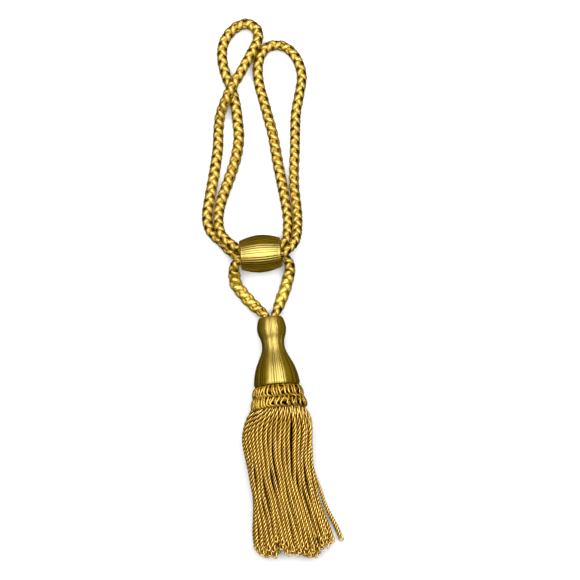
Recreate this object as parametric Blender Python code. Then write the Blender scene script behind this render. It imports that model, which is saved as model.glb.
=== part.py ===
"""A curtain tieback laid out flat: one plaited cord in two long loops, drawn through a wound bead.

Both ends of the cord are sewn into the wound head of a tassel, which wears a two-row ruff and a fringe of
bullion.

Metres, +Z up. The loops reach towards +Y and the fringe towards -Y; the part rests on z = 0.
Places are given in the layout's own coordinates and moved by LAYOUT_ORIGIN, so that the part's origin is the
middle of the underside of the bead and tassel.
"""

import math

import bmesh
import bpy
import numpy as np
from mathutils import Matrix, Vector

LAYOUT_ORIGIN = (0.2906, 0.1850)  # x, y of the part's origin in the layout
GAP = 0.0003  # between pieces that touch

# The cord
CORD_SIDES = 8
PLAIT_PITCH = 0.0096  # length of one plait in the loops
PLAIT_RINGS = 4  # rings in one plait
PLAIT_RELIEF = 0.085  # share of the radius by which the plaits rise and fall
USUAL_RADIUS = 0.0052
LOOSE_RADIUS = 0.0057  # above this girth, near the tassel, the plait is looser
LOOSE_PITCH_GAIN = 7.0  # how fast the plait opens as the cord thickens
SQUEEZED_RADIUS = 0.00425  # inside the bead, where the plaits are pressed flat
SQUEEZED_STEP = 0.0080
TANGENT_REACH = 0.0010  # how far ahead and behind the cord's direction is read

# The bead, a barrel with a bore for three turns of the cord
BEAD_LEFT = Vector((0.2402, 0.3245, 0.0183))
BEAD_RIGHT = Vector((0.2813, 0.3281, 0.0183))
BEAD_MIDDLE_RADIUS = 0.01875
BEAD_END_RADIUS = 0.0150
BEAD_RIM = 0.0022
BORE_RADIUS = 0.0102
BORE_MOUTH_RADIUS = 0.0123
BORE_FLARE = 0.0060  # length of the bore's widening at each end
BEAD_SIDES = 32
SLOT_RING = 0.00525  # distance of each turn of the cord from the bead's axis
SLOT_ANGLES = {"far": 0.0, "over": 120.0, "under": -120.0}  # degrees from the bead's far side
# where each turn leaves the mouths: slot, left end across and up, right end across and up
MOUTH_OFFSETS = {
    "far": (0.0062, 0.0000, 0.0062, 0.0000),
    "over": (-0.0052, 0.0046, -0.0028, 0.0056),
    "under": (-0.0028, -0.0056, -0.0052, -0.0046),
}

# The tassel's head, a turned mould that leans up towards the ruff
HEAD_TOP = Vector((0.2705, 0.2625, 0.0134))
HEAD_BASE = Vector((0.2776, 0.1900, 0.0250))
HEAD_SIDES = 32
POCKET_RADIUS = 0.0091
POCKET_DEPTH = 0.0090
POCKET_CORD_RADIUS = 0.0042
POCKET_LEAD = 0.0020  # the cord ends run straight from this far above the pocket
# along the axis from the top, radius
HEAD_PROFILE = (
    (0.0000, 0.0108),
    (0.0014, 0.0121),
    (0.0050, 0.0135),
    (0.0110, 0.0145),
    (0.0170, 0.0137),
    (0.0220, 0.0119),
    (0.0265, 0.01115),
    (0.0315, 0.0115),
    (0.0360, 0.0128),
    (0.0420, 0.0156),
    (0.0490, 0.0189),
    (0.0560, 0.0211),
    (0.0620, 0.0223),
    (0.0665, 0.0229),
    (0.0690, 0.0222),
)

# The ruff, two rows of looped gimp around the fringe's roots
RUFF_LOOPS = 24
RUFF_STEPS_PER_LOOP = 3
RUFF_LOOP_RELIEF = 0.0016
# along the head's axis, radius, share of the loops' relief, half-loops of twist
RUFF_PROFILE = (
    (0.0695, 0.0205, 0.0, 0),
    (0.0695, 0.0238, 0.5, 0),
    (0.0715, 0.0258, 1.0, 0),
    (0.0752, 0.0264, 1.0, 0),
    (0.0785, 0.0250, 1.0, 0),
    (0.0798, 0.0248, 1.0, 1),
    (0.0815, 0.0274, 1.0, 1),
    (0.0855, 0.0288, 1.0, 1),
    (0.0895, 0.0288, 1.0, 1),
    (0.0918, 0.0272, 0.5, 1),
    (0.0904, 0.0254, 0.0, 1),
    (0.0785, 0.0214, 0.0, 0),
)

# The fringe: strands in two nested rings and a core row, spreading from a round root to a low pile
FRINGE_BACK_START = 0.0694  # along the head's axis
FRINGE_BACK_THICKNESS = 0.0040
FRINGE_BACK_RADIUS = 0.0198
FRINGE_BACK_SIDES = 28
FRINGE_ROOT_SINK = 0.0015
FRINGE_RING_STRANDS = (37, 24)
FRINGE_CORE_STRANDS = 7
FRINGE_RING_STEP = 0.0052  # from one ring of strands to the next
STRAND_WIDTH = 0.0042
STRAND_FILL = (0.80, 0.74)  # share of the room along each ring that its strands take
CORE_FILL = 0.74
STRAND_TIP_WIDTH = 0.55  # of the strand's own
STRAND_TIP_LENGTH = 0.0030
# y, middle x, half width, lowest z, highest z
FRINGE_SECTIONS = (
    (0.1860, 0.2778, 0.0188, 0.0064, 0.0440),
    (0.1730, 0.2793, 0.0233, 0.0056, 0.0503),
    (0.1680, 0.2804, 0.0264, 0.0044, 0.0520),
    (0.1640, 0.2790, 0.0324, 0.0022, 0.0512),
    (0.1580, 0.2782, 0.0350, 0.0002, 0.0474),
    (0.1460, 0.2777, 0.0362, 0.0000, 0.0418),
    (0.1240, 0.2786, 0.0338, 0.0000, 0.0355),
    (0.1000, 0.2816, 0.0326, 0.0000, 0.0315),
    (0.0740, 0.2874, 0.0350, 0.0000, 0.0280),
    (0.0500, 0.2922, 0.0396, 0.0000, 0.0255),
    (0.0230, 0.2960, 0.0428, 0.0000, 0.0240),
)
FRINGE_INNER_SECTIONS = (0, 2, 4, 5, 6, 7, 8, 10)
# x, y where the fringe's ends lie
FRINGE_ENDS = (
    (0.2520, 0.0400),
    (0.2570, 0.0270),
    (0.2750, 0.0235),
    (0.2890, 0.0270),
    (0.3070, 0.0255),
    (0.3180, 0.0265),
    (0.3350, 0.0350),
)
END_UNEVENNESS = 0.0050
SWAY = 0.0015  # how far the strands wave from side to side at their ends
SWAY_START = 0.1460  # y where they begin to wave
SWAY_LENGTH = 0.0150  # in radians of the wave, along y
SWAY_SPACING = 0.0210  # the same, along x
# y, how far the stray strand at the right lies outside its place
STRAY_SPREAD = (
    (0.1240, 0.0),
    (0.1000, 0.0050),
    (0.0740, 0.0062),
    (0.0500, 0.0072),
    (0.0230, 0.0080),
)
STRAY_FALL_START = 0.1000
STRAY_FALL_END = 0.0500

# Routes of the cord outside the bead: x, y, z, radius
LEFT_TAIL = (
    (0.2610, 0.2686, 0.0108, 0.0052),
    (0.2556, 0.2730, 0.0082, 0.0060),
    (0.2494, 0.2789, 0.0066, 0.0063),
    (0.2426, 0.2865, 0.0064, 0.0062),
    (0.2363, 0.2946, 0.0076, 0.0063),
    (0.2344, 0.3034, 0.0118, 0.0062),
    (0.2341, 0.3108, 0.0176, 0.0054),
    (0.2362, 0.3170, 0.0214, 0.0047),
)
RIGHT_LOOP = (
    (0.2882, 0.3306, 0.0233, 0.0046),
    (0.2934, 0.3358, 0.0218, 0.0049),
    (0.2965, 0.3436, 0.0186, 0.0049),
    (0.2975, 0.3530, 0.0140, 0.0050),
    (0.2975, 0.3650, 0.0094, 0.0050),
    (0.2960, 0.3790, 0.0060, 0.0051),
    (0.2942, 0.3940, 0.0053, 0.0052),
    (0.2941, 0.4110, 0.0053, 0.0052),
    (0.2948, 0.4300, 0.0053, 0.0052),
    (0.2951, 0.4480, 0.0053, 0.0052),
    (0.2960, 0.4680, 0.0053, 0.0053),
    (0.2995, 0.4870, 0.0053, 0.0052),
    (0.3018, 0.5030, 0.0053, 0.0052),
    (0.2992, 0.5163, 0.0053, 0.0052),
    (0.2934, 0.5266, 0.0053, 0.0052),
    (0.2850, 0.5336, 0.0053, 0.0052),
    (0.2754, 0.5354, 0.0054, 0.0053),
    (0.2658, 0.5324, 0.0054, 0.0053),
    (0.2596, 0.5230, 0.0054, 0.0053),
    (0.2577, 0.5100, 0.0053, 0.0053),
    (0.2592, 0.4958, 0.0053, 0.0053),
    (0.2633, 0.4808, 0.0053, 0.0053),
    (0.2679, 0.4638, 0.0055, 0.0054),
    (0.2725, 0.4469, 0.0055, 0.0054),
    (0.2757, 0.4298, 0.0057, 0.0056),
    (0.2787, 0.4128, 0.0057, 0.0056),
    (0.2820, 0.3968, 0.0057, 0.0056),
    (0.2847, 0.3815, 0.0054, 0.0053),
    (0.2867, 0.3690, 0.0055, 0.0051),
    (0.2877, 0.3590, 0.0072, 0.0050),
    (0.2875, 0.3500, 0.0106, 0.0050),
    (0.2864, 0.3412, 0.0150, 0.0047),
)
LEFT_LOOP = (
    (0.2326, 0.3352, 0.0186, 0.0047),
    (0.2262, 0.3400, 0.0178, 0.0050),
    (0.2214, 0.3460, 0.0160, 0.0051),
    (0.2188, 0.3540, 0.0124, 0.0052),
    (0.2183, 0.3640, 0.0082, 0.0054),
    (0.2201, 0.3750, 0.0058, 0.0056),
    (0.2228, 0.3840, 0.0058, 0.0057),
    (0.2270, 0.3955, 0.0058, 0.0057),
    (0.2319, 0.4095, 0.0058, 0.0057),
    (0.2363, 0.4247, 0.0058, 0.0057),
    (0.2387, 0.4420, 0.0057, 0.0056),
    (0.2375, 0.4590, 0.0057, 0.0056),
    (0.2353, 0.4758, 0.0056, 0.0055),
    (0.2313, 0.4914, 0.0055, 0.0054),
    (0.2256, 0.5058, 0.0055, 0.0054),
    (0.2221, 0.5209, 0.0054, 0.0053),
    (0.2230, 0.5357, 0.0054, 0.0053),
    (0.2292, 0.5471, 0.0055, 0.0054),
    (0.2380, 0.5545, 0.0056, 0.0055),
    (0.2482, 0.5566, 0.0057, 0.0056),
    (0.2568, 0.5504, 0.0068, 0.0055),
    (0.2577, 0.5400, 0.0106, 0.0054),
    (0.2531, 0.5300, 0.0130, 0.0053),
    (0.2473, 0.5192, 0.0140, 0.0053),
    (0.2399, 0.5057, 0.0152, 0.0053),
    (0.2312, 0.4910, 0.0166, 0.0053),
    (0.2247, 0.4773, 0.0142, 0.0053),
    (0.2200, 0.4637, 0.0096, 0.0053),
    (0.2183, 0.4489, 0.0060, 0.0053),
    (0.2178, 0.4330, 0.0057, 0.0055),
    (0.2154, 0.4150, 0.0059, 0.0057),
    (0.2124, 0.3970, 0.0059, 0.0058),
    (0.2092, 0.3800, 0.0058, 0.0057),
    (0.2070, 0.3660, 0.0056, 0.0055),
    (0.2076, 0.3560, 0.0055, 0.0053),
    (0.2110, 0.3480, 0.0054, 0.0052),
    (0.2166, 0.3420, 0.0055, 0.0052),
    (0.2222, 0.3372, 0.0062, 0.0050),
    (0.2264, 0.3322, 0.0082, 0.0049),
    (0.2324, 0.3266, 0.0108, 0.0046),
)
RIGHT_TAIL = (
    (0.2863, 0.3212, 0.0131, 0.0046),
    (0.2896, 0.3156, 0.0114, 0.0052),
    (0.2897, 0.3080, 0.0088, 0.0058),
    (0.2873, 0.2990, 0.0068, 0.0061),
    (0.2848, 0.2900, 0.0064, 0.0062),
    (0.2815, 0.2815, 0.0072, 0.0062),
    (0.2789, 0.2745, 0.0092, 0.0058),
    (0.2768, 0.2690, 0.0114, 0.0049),
)

# name: colour, roughness
MATERIALS = {
    "cord": ((0.66, 0.43, 0.11, 1.0), 0.55),
    "bead": ((0.56, 0.40, 0.11, 1.0), 0.50),
    "head": ((0.56, 0.40, 0.11, 1.0), 0.50),
    "ruff": ((0.60, 0.40, 0.10, 1.0), 0.60),
    "fringe": ((0.62, 0.42, 0.12, 1.0), 0.60),
}


def clear_scene():
    for obj in list(bpy.data.objects):
        bpy.data.objects.remove(obj, do_unlink=True)


def yarn(name):
    """The Principled material of the piece called name."""
    colour, roughness = MATERIALS[name]
    material = bpy.data.materials.new(name)
    material.use_nodes = True
    shader = material.node_tree.nodes["Principled BSDF"]
    shader.inputs["Base Color"].default_value = colour
    shader.inputs["Roughness"].default_value = roughness
    shader.inputs["Metallic"].default_value = 0.0
    return material


def finish_object(bm, name, smooth_angle=60.0):
    """Makes the mesh an object, with its faces pointing out, measured from the part's origin."""
    bmesh.ops.recalc_face_normals(bm, faces=bm.faces)
    bmesh.ops.translate(bm, verts=bm.verts, vec=(-LAYOUT_ORIGIN[0], -LAYOUT_ORIGIN[1], 0.0))
    mesh = bpy.data.meshes.new(name)
    bm.to_mesh(mesh)
    bm.free()
    mesh.materials.append(yarn(name))
    mesh.shade_smooth()
    mesh.set_sharp_from_angle(angle=math.radians(smooth_angle))
    obj = bpy.data.objects.new(name, mesh)
    bpy.context.scene.collection.objects.link(obj)
    return obj


def add_tube(bm, rings):
    """A closed tube through rings of points, all of one length."""
    loops = [[bm.verts.new(point) for point in ring] for ring in rings]
    for near, far in zip(loops, loops[1:]):
        for i in range(len(near)):
            j = (i + 1) % len(near)
            bm.faces.new((near[i], near[j], far[j], far[i]))
    bm.faces.new(loops[0][::-1])
    bm.faces.new(loops[-1])


def smooth_curve(points, samples=24):
    """A centripetal Catmull-Rom curve through the points, which may carry more columns than three."""
    points = np.array(points, float)
    padded = np.vstack([2 * points[0] - points[1], points, 2 * points[-1] - points[-2]])
    curve = []
    for a, b, c, d in zip(padded, padded[1:], padded[2:], padded[3:]):
        ta = 0.0
        tb = ta + math.sqrt(np.linalg.norm(b[:3] - a[:3]))
        tc = tb + math.sqrt(np.linalg.norm(c[:3] - b[:3]))
        td = tc + math.sqrt(np.linalg.norm(d[:3] - c[:3]))
        for t in np.linspace(tb, tc, samples, endpoint=False):
            ab = ((tb - t) * a + (t - ta) * b) / (tb - ta)
            bc = ((tc - t) * b + (t - tb) * c) / (tc - tb)
            cd = ((td - t) * c + (t - tc) * d) / (td - tc)
            abc = ((tc - t) * ab + (t - ta) * bc) / (tc - ta)
            bcd = ((td - t) * bc + (t - tb) * cd) / (td - tb)
            curve.append(((tc - t) * abc + (t - tb) * bcd) / (tc - tb))
    curve.append(points[-1])
    return np.array(curve)


def bead_frame():
    """The bead's middle, its axis towards the right end, and across it, away from the tassel."""
    axis = (BEAD_RIGHT - BEAD_LEFT).normalized()
    across = Vector((-axis.y, axis.x, 0.0))
    return (BEAD_LEFT + BEAD_RIGHT) / 2, axis, across


def bead_pass(slot, towards_right):
    """Where one turn of the cord runs through the bore, from mouth to mouth."""
    middle, axis, across = bead_frame()
    up = Vector((0.0, 0.0, 1.0))
    half = (BEAD_RIGHT - BEAD_LEFT).length / 2
    angle = math.radians(SLOT_ANGLES[slot])
    inside = (across * math.cos(angle) + up * math.sin(angle)) * SLOT_RING
    left_across, left_up, right_across, right_up = MOUTH_OFFSETS[slot]
    straight = half - BORE_FLARE
    places = [middle - axis * half + across * left_across + up * left_up]
    places += [middle + axis * along + inside for along in (-straight, 0.0, straight)]
    places += [middle + axis * half + across * right_across + up * right_up]
    route = [(*place, SQUEEZED_RADIUS) for place in places]
    return route if towards_right else route[::-1]


def head_axis():
    return (HEAD_BASE - HEAD_TOP).normalized()


def pocket_end(side):
    """The last stretch of a cord end, from just above the head's pocket; side is -1 left, 1 right."""
    axis = head_axis()
    across = Vector((-axis.y, axis.x, 0.0)).normalized()
    top = HEAD_TOP + across * (side * (POCKET_CORD_RADIUS + GAP))
    return [(*(top + axis * along), POCKET_CORD_RADIUS) for along in (-POCKET_LEAD, POCKET_DEPTH - GAP)]


def cord_route():
    """The whole cord in order: tail, right loop, left loop and tail, with a turn in the bead between."""
    route = pocket_end(-1)[::-1]
    route += LEFT_TAIL
    route += bead_pass("over", towards_right=True)
    route += RIGHT_LOOP
    route += bead_pass("far", towards_right=False)
    route += LEFT_LOOP
    route += bead_pass("under", towards_right=True)
    route += RIGHT_TAIL
    route += pocket_end(1)
    return smooth_curve(route)


def plait_pitch(radius):
    return PLAIT_PITCH + LOOSE_PITCH_GAIN * max(0.0, radius - LOOSE_RADIUS)


def relief_share(radius):
    """0 where the cord is squeezed flat, 1 from its usual girth up."""
    flat = SQUEEZED_RADIUS + GAP / 2
    return min(1.0, max(0.0, (radius - flat) / (USUAL_RADIUS - flat)))


def cord_rings():
    """Rings along the cord, four to each plait, whose radius rises by turns above and at the sides."""
    curve = cord_route()
    steps = np.linalg.norm(np.diff(curve[:, :3], axis=0), axis=1)
    lengths = np.concatenate([[0], np.cumsum(steps)])

    def at(distance):
        return np.array([np.interp(distance, lengths, curve[:, k]) for k in range(4)])

    rings = []
    distance, quarter = 0.0, 0
    total = lengths[-1]
    while True:
        x, y, z, radius = at(distance)
        here = Vector((x, y, z))
        ahead = Vector(at(min(total, distance + TANGENT_REACH))[:3])
        behind = Vector(at(max(0.0, distance - TANGENT_REACH))[:3])
        tangent = (ahead - behind).normalized()
        side = tangent.cross(Vector((0, 0, 1))).normalized()
        up = side.cross(tangent)
        relief = PLAIT_RELIEF * relief_share(radius)
        wave = math.cos(quarter * 2 * math.pi / PLAIT_RINGS)
        ring = []
        for i in range(CORD_SIDES):
            angle = 2 * math.pi * i / CORD_SIDES
            reach = radius * (1 - relief + relief * wave * math.cos(2 * angle))
            ring.append(here + (side * math.cos(angle) + up * math.sin(angle)) * reach)
        rings.append(ring)
        if distance >= total:
            return rings
        if relief > 0:
            distance += plait_pitch(radius) / PLAIT_RINGS
            quarter += 1
        else:
            distance += SQUEEZED_STEP
        if total - distance < PLAIT_PITCH / PLAIT_RINGS / 2:
            distance = total


def make_cord():
    bm = bmesh.new()
    add_tube(bm, cord_rings())
    return finish_object(bm, "cord")


def turned(outline, start, axis, sides):
    """A closed outline of (along, radius) points, spun about the axis from start."""
    bm = bmesh.new()
    points = [bm.verts.new((radius, 0.0, along)) for along, radius in outline]
    edges = [bm.edges.new((a, b)) for a, b in zip(points, points[1:])]
    if outline[0][1] > 0:
        edges.append(bm.edges.new((points[-1], points[0])))
    bmesh.ops.spin(
        bm,
        geom=points + edges,
        cent=(0, 0, 0),
        axis=(0, 0, 1),
        angle=2 * math.pi,
        steps=sides,
        use_merge=True,
    )
    bmesh.ops.remove_doubles(bm, verts=bm.verts, dist=1e-6)
    turn = Vector((0, 0, 1)).rotation_difference(axis).to_matrix().to_4x4()
    bmesh.ops.transform(bm, matrix=Matrix.Translation(start) @ turn, verts=bm.verts)
    return bm


def press_on_floor(bm):
    """Flattens what would reach below the surface that the part lies on."""
    for vert in bm.verts:
        vert.co.z = max(0.0, vert.co.z)


def make_bead():
    middle, axis, _ = bead_frame()
    half = (BEAD_RIGHT - BEAD_LEFT).length / 2
    bulge = BEAD_MIDDLE_RADIUS - BEAD_END_RADIUS
    outer = []
    for share in (-1.0, -0.8, -0.55, -0.25, 0.25, 0.55, 0.8, 1.0):
        along = share * (half - BEAD_RIM)
        outer.append((along, BEAD_MIDDLE_RADIUS - bulge * share * share))
    mouth = half - BORE_FLARE
    inner = [(half, BORE_MOUTH_RADIUS), (mouth, BORE_RADIUS)]
    inner += [(-along, radius) for along, radius in reversed(inner)]
    left_rim = (-half, BEAD_END_RADIUS - BEAD_RIM)
    right_rim = (half, BEAD_END_RADIUS - BEAD_RIM)
    bm = turned([left_rim, *outer, right_rim, *inner], middle, axis, BEAD_SIDES)
    press_on_floor(bm)
    return finish_object(bm, "bead", 35.0)


def make_head():
    pocket = [(POCKET_DEPTH, 0.0), (POCKET_DEPTH, POCKET_RADIUS), (0.0, POCKET_RADIUS)]
    base = [(HEAD_PROFILE[-1][0], 0.0)]
    bm = turned(pocket + list(HEAD_PROFILE) + base, HEAD_TOP, head_axis(), HEAD_SIDES)
    return finish_object(bm, "head", 35.0)


def make_ruff():
    """Rows of loops as a scalloped ring: each row's radius dips between its loops."""
    axis = head_axis()
    across = Vector((-axis.y, axis.x, 0.0)).normalized()
    over = across.cross(axis)
    steps = RUFF_LOOPS * RUFF_STEPS_PER_LOOP
    bm = bmesh.new()
    grid = []
    for i in range(steps):
        column = []
        for along, radius, relief, half_loops in RUFF_PROFILE:
            turn = i + half_loops * RUFF_STEPS_PER_LOOP / 2
            angle = 2 * math.pi * turn / steps
            dip = RUFF_LOOP_RELIEF * relief if i % RUFF_STEPS_PER_LOOP == 0 else 0.0
            outward = across * math.cos(angle) + over * math.sin(angle)
            column.append(bm.verts.new(HEAD_TOP + axis * along + outward * (radius - dip)))
        grid.append(column)
    for i in range(steps):
        near, far = grid[i], grid[(i + 1) % steps]
        for j in range(len(near)):
            k = (j + 1) % len(near)
            bm.faces.new((near[j], near[k], far[k], far[j]))
    press_on_floor(bm)
    return finish_object(bm, "ruff")


def table_at(table, value):
    """Reads a table of rows that fall along their first column, between its rows."""
    rows = np.array(table)
    order = np.argsort(rows[:, 0])
    return [float(np.interp(value, rows[order, 0], rows[order, k])) for k in range(1, rows.shape[1])]


def around_pile(half_width, half_height, share):
    """A point of a flat-topped oval and the direction out of it, at a share of the way round it."""
    straight = max(0.0, half_width - half_height)
    arc = math.pi * half_height
    distance = (share % 1.0) * (4 * straight + 2 * arc)
    if distance < arc / 2:
        angle, middle = distance / half_height, straight
    elif distance < arc / 2 + 2 * straight:
        angle, middle = math.pi / 2, straight - (distance - arc / 2)
    elif distance < 3 * arc / 2 + 2 * straight:
        angle, middle = (distance - 2 * straight) / half_height, -straight
    elif distance < 3 * arc / 2 + 4 * straight:
        angle, middle = 3 * math.pi / 2, (distance - 3 * arc / 2 - 2 * straight) - straight
    else:
        angle, middle = (distance - 4 * straight) / half_height, straight
    out = (math.cos(angle), math.sin(angle))
    return (middle + half_height * out[0], half_height * out[1]), out


def section_place(section, ring, share):
    """Middle, outward direction and width of a strand of a ring (or of the core row) in one section."""
    y, middle_x, half_width, low, high = section
    half_height = (high - low) / 2
    middle_z = (high + low) / 2
    if ring < len(FRINGE_RING_STRANDS):
        width = STRAND_WIDTH
        for _ in range(4):
            inset = width / 2 + ring * FRINGE_RING_STEP
            a, b = half_width - inset, half_height - inset
            room = (4 * max(0.0, a - b) + 2 * math.pi * b) / FRINGE_RING_STRANDS[ring]
            width = min(STRAND_WIDTH, STRAND_FILL[ring] * room)
        inset = width / 2 + ring * FRINGE_RING_STEP
        a, b = half_width - inset, half_height - inset
        (x, z), out = around_pile(a, b, share)
        return Vector((middle_x + x, y, middle_z + z)), Vector((out[0], 0.0, out[1])), width
    reach = half_width - STRAND_WIDTH / 2 - ring * FRINGE_RING_STEP
    room = 2 * reach / FRINGE_CORE_STRANDS
    place = Vector((middle_x + (2 * share - 1) * reach, y, middle_z))
    return place, Vector((0.0, 0.0, 1.0)), min(STRAND_WIDTH, CORE_FILL * room)


def root_y(place):
    """Where a strand at this place meets the backing, and sinks into it."""
    axis = head_axis()
    face = HEAD_TOP + axis * (FRINGE_BACK_START + FRINGE_BACK_THICKNESS - FRINGE_ROOT_SINK)
    return face.y - ((place.x - face.x) * axis.x + (place.z - face.z) * axis.z) / axis.y


def sway(place):
    """The sideways wave of the strands at a place, which grows from the ruff to their ends."""
    growth = min(1.0, max(0.0, (SWAY_START - place.y) / SWAY_START))
    return SWAY * growth * math.sin(place.y / SWAY_LENGTH + place.x / SWAY_SPACING)


def strand_rings(ring, index, count):
    """The rings of one strand, from inside the backing to its blunt tip."""
    share = (index + 0.5) / count if ring else index / count
    stray = ring == 0 and index == 0
    sections = FRINGE_SECTIONS if ring == 0 else [FRINGE_SECTIONS[i] for i in FRINGE_INNER_SECTIONS]
    last = sections[-1]
    tip_x = section_place(last, ring, share)[0].x
    uneven = END_UNEVENNESS * (((index * 7 + ring * 3) % 5) / 4.0)
    tip_y = table_at(FRINGE_ENDS, tip_x)[0] + uneven
    shoulder_y = tip_y + STRAND_TIP_LENGTH
    levels = [section[0] for section in sections if section[0] > shoulder_y + STRAND_TIP_LENGTH / 2]
    levels += [shoulder_y, tip_y] if ring == 0 else [tip_y]
    rings = []
    for number, level in enumerate(levels):
        place, out, width = section_place((level, *table_at(FRINGE_SECTIONS, level)), ring, share)
        place.x += sway(place)
        if stray:
            fall = min(1.0, max(0.0, (STRAY_FALL_START - level) / (STRAY_FALL_START - STRAY_FALL_END)))
            place.x += table_at(STRAY_SPREAD, level)[0]
            place.z += (width / 2 - place.z) * fall
        if number == 0:
            place.y = root_y(place)
        if number == len(levels) - 1:
            width *= STRAND_TIP_WIDTH
        along = Vector((-out.z, 0.0, out.x))
        quarters = ((1, 1), (-1, 1), (-1, -1), (1, -1))
        corners = [(along * a + out * b) * (width / 2) for a, b in quarters]
        place.z = max(place.z, -min(corner.z for corner in corners))
        rings.append([place + corner for corner in corners])
    return rings


def make_fringe():
    """All strands in one mesh, joined to the round backing that holds their roots."""
    strands = bmesh.new()
    for ring, count in enumerate((*FRINGE_RING_STRANDS, FRINGE_CORE_STRANDS)):
        for index in range(count):
            add_tube(strands, strand_rings(ring, index, count))
    axis = head_axis()
    start = HEAD_TOP + axis * FRINGE_BACK_START
    rim = [(0.0, FRINGE_BACK_RADIUS), (FRINGE_BACK_THICKNESS, FRINGE_BACK_RADIUS)]
    backing = turned([(0.0, 0.0), *rim, (FRINGE_BACK_THICKNESS, 0.0)], start, axis, FRINGE_BACK_SIDES)
    bmesh.ops.dissolve_limit(backing, angle_limit=0.01, verts=backing.verts, edges=backing.edges)
    strand_piece = finish_object(strands, "fringe")
    strand_piece.name = "fringe_strands"
    fringe = finish_object(backing, "fringe")
    union = fringe.modifiers.new("roots", "BOOLEAN")
    union.operation = "UNION"
    union.object = strand_piece
    strand_piece.hide_render = True
    strand_piece.display_type = "WIRE"
    return fringe


def main():
    clear_scene()
    make_cord()
    make_bead()
    make_head()
    make_ruff()
    make_fringe()


main()
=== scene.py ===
"""The looks of a curtain tieback tassel: a satin cord plaited from four yarns, a wound bead and head, a
ruff of gimp loops and a bullion fringe, each built in the place of its plain solid.

Metres, +Z up. Routes and profiles are in the layout's own coordinates, as in the part's source, and are
moved by LAYOUT_ORIGIN into the row frame. A surface's tone, from 0 to 1, makes its gold lighter; it varies
at random, and in places it also carries painted light and shade. Its painted shade, from 0 to 1, turns it
into the dark colour of a shaded crevice.
"""

import math

import bpy
import numpy as np
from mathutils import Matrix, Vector

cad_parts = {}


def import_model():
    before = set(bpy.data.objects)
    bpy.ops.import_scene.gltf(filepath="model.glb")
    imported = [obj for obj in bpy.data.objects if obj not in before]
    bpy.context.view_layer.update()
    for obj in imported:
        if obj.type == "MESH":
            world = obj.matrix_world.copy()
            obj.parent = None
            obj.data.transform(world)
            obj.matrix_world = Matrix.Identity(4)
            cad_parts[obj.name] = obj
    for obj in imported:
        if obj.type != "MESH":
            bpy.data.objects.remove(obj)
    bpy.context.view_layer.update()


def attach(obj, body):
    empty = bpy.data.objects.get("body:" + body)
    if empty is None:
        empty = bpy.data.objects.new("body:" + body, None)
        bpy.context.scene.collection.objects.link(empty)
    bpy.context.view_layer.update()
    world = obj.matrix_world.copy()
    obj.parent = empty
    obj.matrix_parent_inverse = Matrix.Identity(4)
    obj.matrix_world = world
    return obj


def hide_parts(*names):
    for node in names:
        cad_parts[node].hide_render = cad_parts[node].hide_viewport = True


LAYOUT_ORIGIN = np.array([0.2906, 0.1850, 0.0])
UP = np.array([0.0, 0.0, 1.0])
TURN = 2 * math.pi

# Of the random draws
BEAD_SEED, HEAD_SEED, RUFF_SEED = 3, 5, 5
FRINGE_SEED, STRAND_SEED = 33, 13

# The cord, plaited from two yarns each way round. Lengths across it are shares of its radius.
CORD_STEP = 0.0010
YARN_SIDES = 12
PLAIT_PITCH = 0.0088  # of the cord that a yarn takes for half a turn
YARN_RING = 0.61  # how far a yarn's middle lies from the cord's, on average
YARN_WEAVE = 0.10  # how much further out it is where it passes over, and in where it passes under
YARN_LINGER = 1.6  # how long a yarn stays on top before it dives under the next
YARN_SLANT = 0.30  # how much the yarns' slope varies round the cord
YARN_HALF_WIDTH = 0.47
YARN_HALF_THICKNESS = 0.33
YARN_SWELL = 0.10  # how much wider it is on top, of its width
YARN_TONE = 0.40
YARN_TONE_STEP = 0.07  # from one yarn to the next
YARN_SHADE = 0.35  # painted shade halfway between over and under
YARN_DIVE_SHADE = 0.50  # painted shade added where it passes under, and taken off where it passes over
FILLING_RADIUS = 0.88  # of the filling seen between the yarns, painted dark as shade
# The filling's low tone and its shade are painted shade between the yarns
FILLING_TONE = 0.15
FILLING_SHADE = 0.85
PLAIT_TURN = math.radians(36)  # about the cord: one way up the layout, the other way down it
PLAIT_DRIFT = math.radians(22)  # how far the plait turns to and fro besides
PLAIT_DRIFT_LENGTH = 0.170

# Where the cord is wider, as between bead and head, its plait is loose
LOOSE_RADIUS = 0.0057
LOOSE_BAND = 0.0005  # from taut to loose
LOOSE_PITCH_GAIN = 2.0
LOOSE_WIDENING = 0.10  # of the yarns
LOOSE_YARN_PAINTED_LIGHT = 0.45  # added: the loose plait is painted lighter, as painted light
LOOSE_YARN_SHADE_LOSS = 0.7  # share of the yarns' painted shade that is lost
# The loose plait's filling is painted lighter and less shaded: less painted shade
LOOSE_FILLING_TONE = 0.30
LOOSE_FILLING_SHADE_LOSS = 0.6

# The bead
BEAD_LEFT = np.array([0.2402, 0.3245, 0.0183])
BEAD_RIGHT = np.array([0.2813, 0.3281, 0.0183])
BEAD_MIDDLE_RADIUS = 0.01875
BEAD_END_RADIUS = 0.0150
BEAD_RIM = 0.0022
BORE_RADIUS = 0.0102
BORE_MOUTH_RADIUS = 0.0123
BORE_FLARE = 0.0060
MOUTH_INSET = 0.0006  # how far in from the end the flare starts
MOUTH_LIP = 0.0002  # how much narrower than the mouth it is there
BARREL_ROWS = 37
RIM_ROWS = 7
SQUEEZED_RADIUS = 0.00425
SLOT_RING = 0.00525
SLOT_ANGLES = {"far": 0.0, "over": 120.0, "under": -120.0}  # degrees
# Across and up from the bead's axis at its left mouth, then at its right
MOUTH_OFFSETS = {
    "far": (0.0062, 0.0000, 0.0062, 0.0000),
    "over": (-0.0052, 0.0046, -0.0028, 0.0056),
    "under": (-0.0028, -0.0056, -0.0052, -0.0046),
}

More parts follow.
